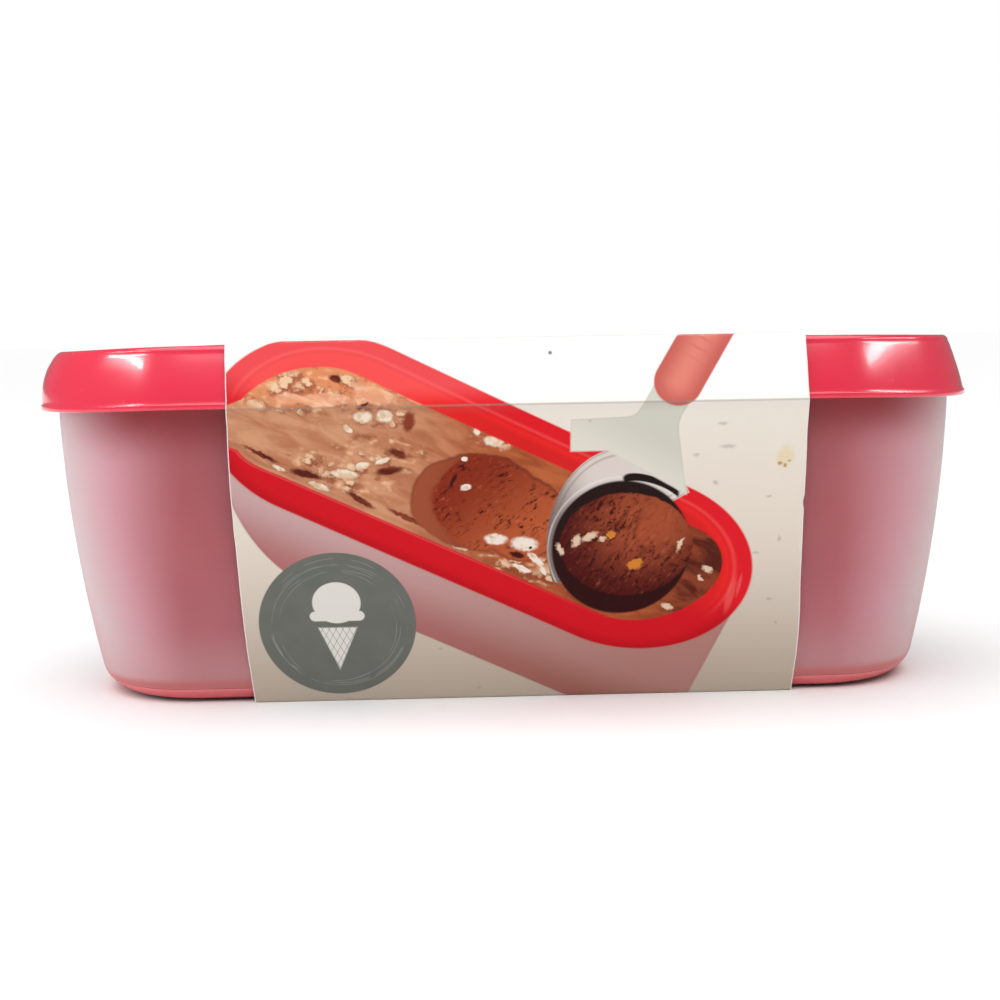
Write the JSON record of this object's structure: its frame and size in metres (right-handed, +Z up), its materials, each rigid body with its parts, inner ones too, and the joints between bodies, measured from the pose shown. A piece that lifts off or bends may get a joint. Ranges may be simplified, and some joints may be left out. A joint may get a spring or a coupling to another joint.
{
  "type": "ice cream storage tub",
  "caption": "Long lidded ice cream storage tub with rounded ends, a frosted outer shell, a red inner tub and lid, and a folded printed paper sleeve round the middle.",
  "frame": {"origin": "centre of the bounding box's base: on the floor, under the middle of the tub", "axes": "+X along the tub's length, +Z up, -Y towards the printed front of the sleeve"},
  "size_m": [0.268, 0.102, 0.1007],
  "materials": {
    "lid_plastic": "gloss, moulded, with a soft sheen",
    "frosted_plastic": "frosted, translucent: the red inner tub shows through",
    "tub_plastic": "semi-gloss, moulded",
    "base_rubber": "soft satin, non-slip",
    "sleeve_paper": "coated card with a satin print and raw cut edges"
  },
  "bodies": {
    "root": {"base_pad": "base_rubber", "outer_shell": "frosted_plastic", "inner_tub": "tub_plastic", "lid": "lid_plastic", "sleeve": "sleeve_paper"}
  },
  "joints": []
}
